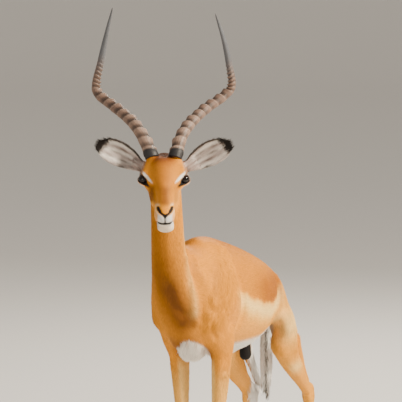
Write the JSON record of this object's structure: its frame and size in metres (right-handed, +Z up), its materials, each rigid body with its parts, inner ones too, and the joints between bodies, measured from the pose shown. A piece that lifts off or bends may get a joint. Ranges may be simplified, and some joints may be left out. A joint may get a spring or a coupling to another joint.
{
  "type": "impala antelope",
  "caption": "Standing male impala with ringed lyre-shaped horns, alert head, long neck, slim legs and cloven hooves.",
  "frame": {"origin": "the floor point under the middle of the whole animal's box", "axes": "+Z up; the face looks along -Y; +X is the animal's left; the trunk runs back along +Y, swung 19 degrees towards +X"},
  "size_m": [0.72, 1.2584, 1.5951],
  "materials": {
    "coat": "short, sleek, glossy fur: rufous saddle, tan flanks, white belly",
    "ear_coat": "very short fur, white hair inside, black tip",
    "tail_hair": "long soft white hair with a dark middle stripe",
    "dark_skin": "dark, thinly haired skin",
    "horn": "ringed keratin, smooth and worn towards the tip",
    "hoof": "black keratin, satin",
    "eye": "wet, dark brown, almost black"
  },
  "bodies": {
    "root": {"ear_left": "ear_coat", "ear_right": "ear_coat", "eye_left": "eye", "eye_right": "eye", "foreleg_lower_left": "coat", "foreleg_lower_right": "coat", "foreleg_upper_left": "coat", "foreleg_upper_right": "coat", "head": "coat", "hindleg_lower_left": "coat", "hindleg_lower_right": "coat", "hindleg_upper_left": "coat", "hindleg_upper_right": "coat", "hoof_front_left_a": "hoof", "hoof_front_left_b": "hoof", "hoof_front_right_a": "hoof", "hoof_front_right_b": "hoof", "hoof_hind_left_a": "hoof", "hoof_hind_left_b": "hoof", "hoof_hind_right_a": "hoof", "hoof_hind_right_b": "hoof", "horn_left": "horn", "horn_right": "horn", "neck": "coat", "scrotum": "dark_skin", "tail": "tail_hair", "trunk": "coat"}
  },
  "joints": []
}
